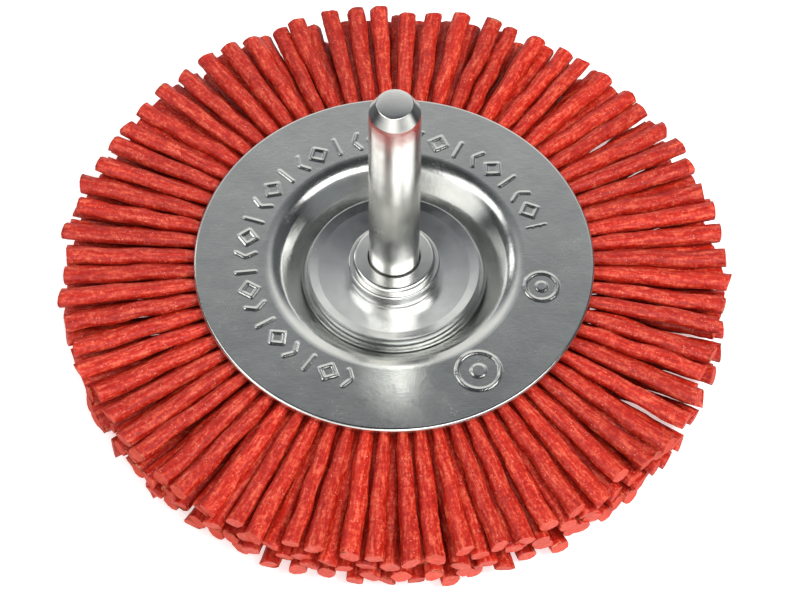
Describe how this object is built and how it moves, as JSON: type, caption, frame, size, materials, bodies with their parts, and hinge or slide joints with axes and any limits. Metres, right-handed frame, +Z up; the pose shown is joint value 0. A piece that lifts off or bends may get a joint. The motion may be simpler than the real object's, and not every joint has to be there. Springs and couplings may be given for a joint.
{
  "type": "shank-mounted wheel brush",
  "caption": "Round wheel brush: crimped abrasive nylon filaments clamped between two dished steel side plates on a riveted hub, driven by a straight round shank.",
  "frame": {"origin": "on the wheel's axis, level with the rear side plate's flat rim, which the brush lies on", "axes": "+Z up along the shank, away from the wheel; X and Y across the wheel"},
  "size_m": [0.08, 0.08, 0.0401],
  "materials": {
    "zinc_plate": "satin bright zinc plating, lightly scratched",
    "shank_steel": "satin ground and plated steel",
    "core_wire": "plain drawn wire",
    "filament": "grit-filled nylon, slightly glossy, crimped"
  },
  "bodies": {
    "root": {"spindle": "shank_steel", "hub_rivet": "shank_steel", "collar": "shank_steel", "core_ring": "core_wire", "front_plate": "zinc_plate", "rear_plate": "zinc_plate", "front_washer": "zinc_plate", "rear_washer": "zinc_plate", "bristle_tuft_01": "filament", "bristle_tuft_02": "filament", "bristle_tuft_03": "filament", "bristle_tuft_04": "filament", "bristle_tuft_05": "filament", "bristle_tuft_06": "filament", "bristle_tuft_07": "filament", "bristle_tuft_08": "filament", "bristle_tuft_09": "filament", "bristle_tuft_10": "filament", "bristle_tuft_11": "filament", "bristle_tuft_12": "filament", "bristle_tuft_13": "filament", "bristle_tuft_14": "filament", "bristle_tuft_15": "filament", "bristle_tuft_16": "filament", "bristle_tuft_17": "filament", "bristle_tuft_18": "filament", "bristle_tuft_19": "filament", "bristle_tuft_20": "filament", "bristle_tuft_21": "filament", "bristle_tuft_22": "filament", "bristle_tuft_23": "filament", "bristle_tuft_24": "filament"}
  },
  "joints": []
}
